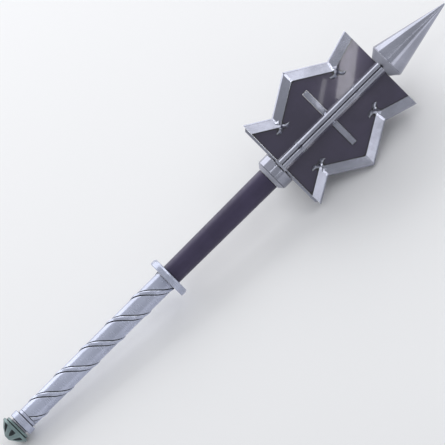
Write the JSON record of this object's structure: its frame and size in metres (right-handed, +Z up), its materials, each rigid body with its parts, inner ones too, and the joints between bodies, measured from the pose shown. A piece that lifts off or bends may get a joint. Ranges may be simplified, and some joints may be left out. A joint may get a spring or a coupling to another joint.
{
  "type": "ceremonial mace",
  "caption": "Flanged ceremonial mace lying at rest: dark head with bright forked edge trims, spear point, dark shaft, disc guard, banded silver grip and faceted pommel.",
  "frame": {"origin": "middle of the whole mace's bounding box in X and Y, on the surface it lies on", "axes": "+X along the surface towards the spear point, +Z up; the mace's own axis rises 4.26 degrees towards the point, and the flanges stand at 45 degrees to the level"},
  "size_m": [0.9228, 0.1474, 0.147],
  "materials": {
    "bright_steel": "polished, with fine scratches",
    "silver_steel": "satin",
    "blackened_steel": "dark violet-grey, oil-blackened, glossy",
    "patinated_bronze": "grey-green patina, worn on the edges"
  },
  "bodies": {
    "root": {"spear_point": "bright_steel", "head_collar": "bright_steel", "head_base_plate": "bright_steel", "edge_trim_1": "bright_steel", "edge_trim_2": "bright_steel", "edge_trim_3": "bright_steel", "edge_trim_4": "bright_steel", "cross_bar_1": "bright_steel", "cross_bar_2": "bright_steel", "cross_bar_3": "bright_steel", "cross_bar_4": "bright_steel", "guard": "silver_steel", "grip": "silver_steel", "grip_band_1": "silver_steel", "grip_band_2": "silver_steel", "grip_ferrule": "silver_steel", "pommel_band": "silver_steel", "pommel_neck": "silver_steel", "flanged_head": "blackened_steel", "shaft": "blackened_steel", "pommel_ring": "patinated_bronze", "pommel_cap": "patinated_bronze"}
  },
  "joints": []
}
